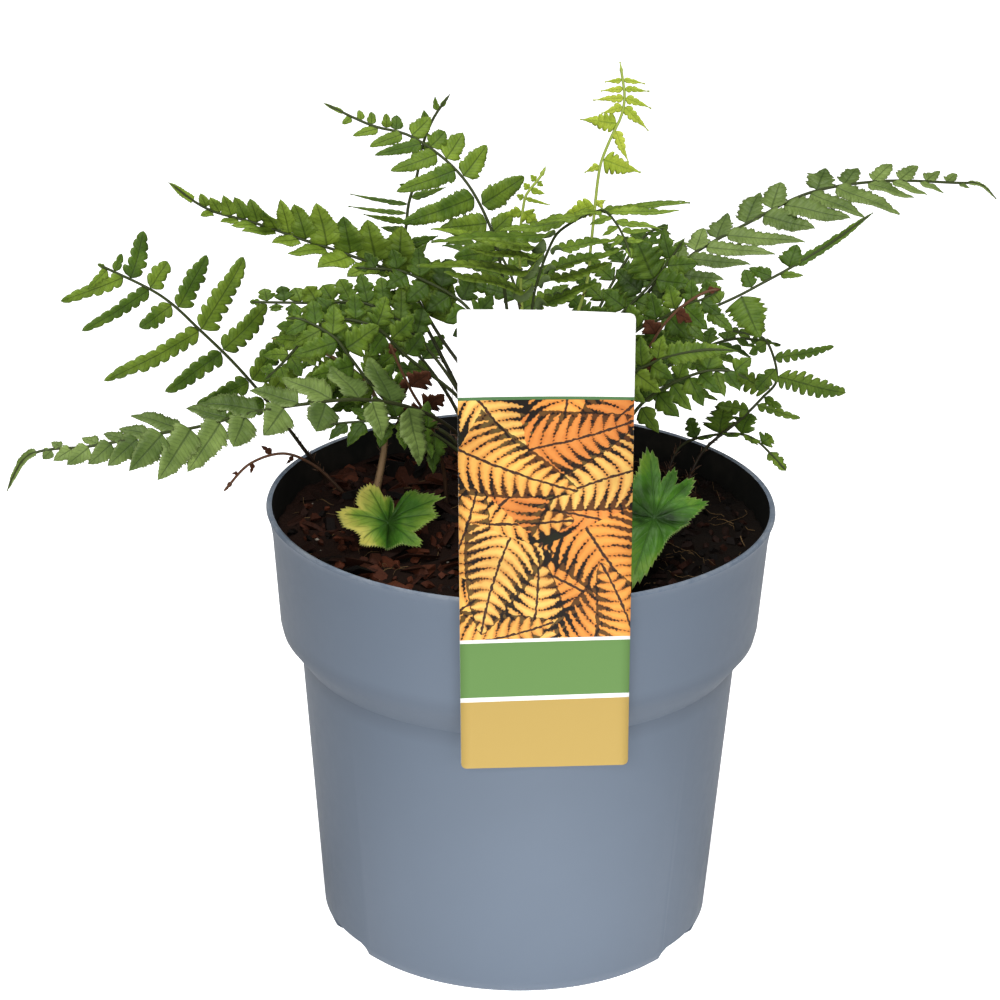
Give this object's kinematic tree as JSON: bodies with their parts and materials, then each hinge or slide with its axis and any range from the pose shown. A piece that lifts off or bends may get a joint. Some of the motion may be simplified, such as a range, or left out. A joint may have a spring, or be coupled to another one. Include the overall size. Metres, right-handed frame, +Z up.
{
  "type": "potted wood fern",
  "caption": "Wood fern with cut, arching fronds growing in a round tapered nursery pot, with a tall printed plant label hung on the rim.",
  "frame": {"origin": "on the pot's axis, at the flat foot that it stands on, which is also the centre of the footprint of the whole plant", "axes": "+Z up, -Y towards the label (the front), +X to the right seen from the front, along the widest spread of the fronds"},
  "size_m": [0.3584, 0.219, 0.336],
  "materials": {
    "pot": "blue-grey moulded plastic, satin",
    "soil": "dark bark compost, damp and rough",
    "label": "printed plastic card, semi-gloss",
    "crown": "brown scaly rhizome",
    "leaf": "mid green frond, semi-matte",
    "young_leaf": "yellow-green young frond",
    "withered_leaf": "brown withered frond, dry"
  },
  "bodies": {
    "root": {"nursery_pot": "pot", "potting_soil": "soil", "crown": "crown", "plant_label": "label", "young_leaf_left": "leaf", "young_leaf_right": "leaf", "frond_upper_left": "leaf", "frond_left_face": "leaf", "frond_low_left": "leaf", "frond_back_left": "leaf", "frond_upright": "leaf", "frond_small_left": "leaf", "frond_right_long": "leaf", "frond_right_middle": "leaf", "frond_behind_right_rim": "leaf", "frond_right_front": "leaf", "frond_right_low": "leaf", "frond_over_label": "leaf", "frond_young_tall": "young_leaf", "frond_young_short": "young_leaf", "frond_right_rim": "leaf", "frond_left_bark": "leaf", "frond_left_under": "leaf", "frond_left_middle": "leaf", "frond_right_rising": "leaf", "frond_middle_right": "leaf", "frond_middle_left": "leaf", "frond_left_inner": "leaf", "frond_back_upright": "leaf", "frond_back_right": "leaf", "frond_far_right": "leaf", "frond_far_left": "leaf", "withered_frond_left": "withered_leaf", "withered_frond_right": "withered_leaf", "withered_frond_rim": "withered_leaf"}
  },
  "joints": []
}
